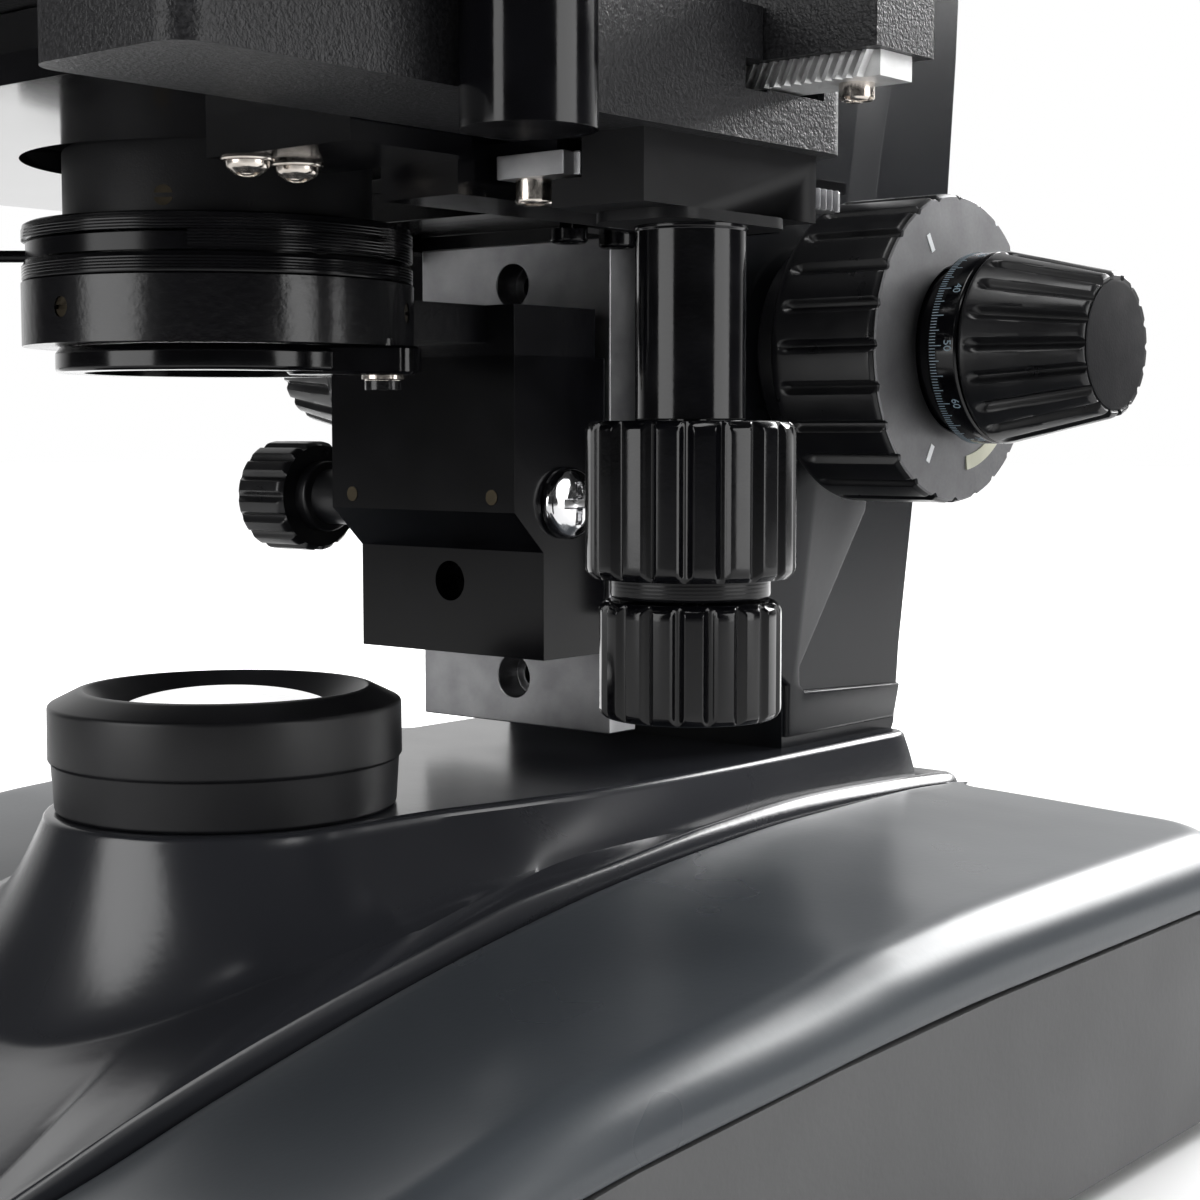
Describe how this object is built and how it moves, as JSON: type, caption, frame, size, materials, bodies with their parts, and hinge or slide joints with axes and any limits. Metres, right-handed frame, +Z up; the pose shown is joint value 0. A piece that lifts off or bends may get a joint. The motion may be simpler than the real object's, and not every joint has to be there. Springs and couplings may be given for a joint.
{
  "type": "microscope",
  "caption": "Compound light microscope with a lit base, rack-driven mechanical stage, focusing condenser, turning nosepiece and twin-eyepiece head.",
  "frame": {"origin": "on the table, directly under the optical axis", "axes": "+Z up along the optical axis, +X to the observer's right, observer at -Y, arm at +Y"},
  "size_m": [0.2103, 0.3193, 0.4001],
  "materials": {
    "black_paint": "satin black powder coat on die-cast aluminium",
    "grey_paint": "dark blue-grey satin paint on die-cast aluminium",
    "base_grey": "matt dark grey textured paint on die-cast aluminium",
    "grain_paint": "black leather-grain powder coat on cast aluminium",
    "black_anodised": "black anodised, lathe turned",
    "ground_steel": "ground steel",
    "chrome": "polished plating",
    "brass": "machined",
    "gloss_black": "glossy black moulded plastic",
    "matt_black": "matt black moulded plastic",
    "rubber": "soft black rubber",
    "glass": "coated optical glass",
    "mirror": "front-silvered mirror",
    "circuit": "green circuit board"
  },
  "bodies": {
    "stand": {"base_casting": "base_grey", "side_cover_right": "grey_paint", "side_cover_left": "grey_paint", "centre_cover": "black_paint", "bottom_plate": "ground_steel", "rubber_feet": "rubber", "base_screws": "ground_steel", "field_lens_ring": "black_anodised", "field_lens": "glass", "mirror_unit": "mirror", "lamp_unit": "ground_steel", "power_board": "circuit", "power_inlet": "matt_black", "arm_casting": "black_paint", "arm_back_cover": "black_paint", "focus_gibs": "black_anodised", "focus_bushes": "brass", "nosepiece_mount": "black_paint", "head_mount": "black_anodised"},
    "switch": {"power_switch": "gloss_black"},
    "dial": {"brightness_dial": "matt_black"},
    "stage_lift": {"focus_slide": "black_anodised", "focus_rack": "ground_steel", "steel_guide_plate": "ground_steel", "stage_bracket": "black_anodised", "stage_fixed_plate": "black_anodised", "y_guide_rail": "black_anodised", "y_rack": "ground_steel", "stage_screws": "chrome"},
    "coarse_focus": {"coarse_knob_right": "matt_black", "coarse_knob_left": "matt_black", "coarse_shaft": "ground_steel"},
    "fine_focus": {"fine_knobs": "matt_black", "fine_scale_drum": "gloss_black"},
    "stage_y": {"stage_moving_plate": "grain_paint", "control_housing": "black_anodised", "side_post": "gloss_black"},
    "y_control": {"y_knob": "gloss_black"},
    "x_control": {"x_knob": "gloss_black"},
    "stage_x": {"x_bar": "grain_paint", "x_rack": "ground_steel", "slide_holder": "black_anodised"},
    "slide_clip": {"clip_finger": "chrome"},
    "condenser": {"condenser_block": "black_anodised", "condenser_carrier": "black_anodised", "condenser_barrel": "black_anodised", "condenser_lens": "glass", "condenser_screws": "ground_steel"},
    "condenser_pinion": {"condenser_knob": "matt_black"},
    "iris": {"iris_ring": "black_anodised"},
    "filter_swing": {"filter_holder": "black_anodised"},
    "nosepiece": {"nosepiece_turret": "black_anodised", "objectives": "chrome"},
    "head": {"head_body": "black_paint"},
    "lock_screw": {"head_lock_screw": "chrome"},
    "left_eye": {"eye_tube_left": "black_paint", "eyepiece_left": "matt_black"},
    "right_eye": {"eye_tube_right": "black_paint", "eyepiece_right": "matt_black"},
    "dioptre": {"dioptre_ring": "matt_black"}
  },
  "joints": [
    {"name": "power_rocker", "type": "hinge", "parent": "stand", "child": "switch", "pos_m": [0.057, 0.141, 0.023], "axis": [1, 0, 0], "range_deg": [0, 18]},
    {"name": "brightness_turn", "type": "hinge", "parent": "stand", "child": "dial", "pos_m": [-0.105, -0.02, 0.022], "axis": [-1, 0, 0], "range_deg": [0, 270]},
    {"name": "stage_focus", "type": "slide", "parent": "stand", "child": "stage_lift", "axis": [0, 0, 1], "range_m": [-0.003, 0.022]},
    {"name": "coarse_turn", "type": "hinge", "parent": "stand", "child": "coarse_focus", "pos_m": [0, 0.106, 0.1316], "axis": [1, 0, 0], "range_deg": [-158, 22]},
    {"name": "fine_turn", "type": "hinge", "parent": "coarse_focus", "child": "fine_focus", "pos_m": [0, 0.106, 0.1316], "axis": [1, 0, 0], "continuous": true},
    {"name": "stage_y_travel", "type": "slide", "parent": "stage_lift", "child": "stage_y", "axis": [0, 1, 0], "range_m": [-0.015, 0.035]},
    {"name": "y_knob_turn", "type": "hinge", "parent": "stage_y", "child": "y_control", "pos_m": [0.078, 0.0144, 0.1088], "axis": [0, 0, 1], "range_deg": [-216, 502]},
    {"name": "stage_x_travel", "type": "slide", "parent": "stage_y", "child": "stage_x", "axis": [1, 0, 0], "range_m": [-0.0074, 0.066]},
    {"name": "x_knob_turn", "type": "hinge", "parent": "stage_y", "child": "x_control", "pos_m": [0.078, 0.0144, 0.0876], "axis": [0, 0, 1], "range_deg": [-946, 107]},
    {"name": "slide_clip_open", "type": "hinge", "parent": "stage_x", "child": "slide_clip", "pos_m": [-0.0765, 0.0133, 0.174], "axis": [0, 0, -1], "range_deg": [0, 28], "stiffness_Nm_per_rad": 0.02, "springref_deg": -11.46},
    {"name": "condenser_focus", "type": "slide", "parent": "stage_lift", "child": "condenser", "axis": [0, 0, 1], "range_m": [-0.0115, 0]},
    {"name": "condenser_knob_turn", "type": "hinge", "parent": "condenser", "child": "condenser_pinion", "pos_m": [-0.04, 0.0543, 0.106], "axis": [1, 0, 0], "range_deg": [-1, 111]},
    {"name": "iris_lever", "type": "hinge", "parent": "condenser", "child": "iris", "pos_m": [0, 0, 0.1439], "axis": [0, 0, 1], "range_deg": [0, 80]},
    {"name": "filter_holder_swing", "type": "hinge", "parent": "condenser", "child": "filter_swing", "pos_m": [0.0265, 0.008, 0.128], "axis": [0, 0, 1], "range_deg": [0, 100]},
    {"name": "nosepiece_turn", "type": "hinge", "parent": "stand", "child": "nosepiece", "pos_m": [0, 0.02318, 0.24671], "axis": [0, -0.2588, 0.9659], "continuous": true},
    {"name": "head_turn", "type": "hinge", "parent": "stand", "child": "head", "pos_m": [0, 0, 0.32], "axis": [0, 0, 1], "continuous": true},
    {"name": "lock_screw_turn", "type": "hinge", "parent": "head", "child": "lock_screw", "pos_m": [0.03, 0, 0.3205], "axis": [1, 0, 0], "range_deg": [-180, 180]},
    {"name": "left_eye_swing", "type": "hinge", "parent": "head", "child": "left_eye", "pos_m": [0, -0.055, 0.352], "axis": [0, -0.866, 0.5], "range_deg": [-30, 16]},
    {"name": "right_eye_swing", "type": "hinge", "parent": "head", "child": "right_eye", "pos_m": [0, -0.055, 0.352], "axis": [0, -0.866, 0.5], "range_deg": [-16, 30]},
    {"name": "dioptre_turn", "type": "hinge", "parent": "left_eye", "child": "dioptre", "pos_m": [-0.03248, -0.10161, 0.35726], "axis": [0, -0.866, 0.5], "range_deg": [-150, 150]}
  ],
  "couplings": [
    {"joint": "coarse_turn", "follows": "stage_focus", "rad_per_m": -125},
    {"joint": "y_knob_turn", "follows": "stage_y_travel", "rad_per_m": 250},
    {"joint": "x_knob_turn", "follows": "stage_x_travel", "rad_per_m": -250},
    {"joint": "condenser_knob_turn", "follows": "condenser_focus", "rad_per_m": -166.67},
    {"joint": "right_eye_swing", "follows": "left_eye_swing", "ratio": -1}
  ]
}
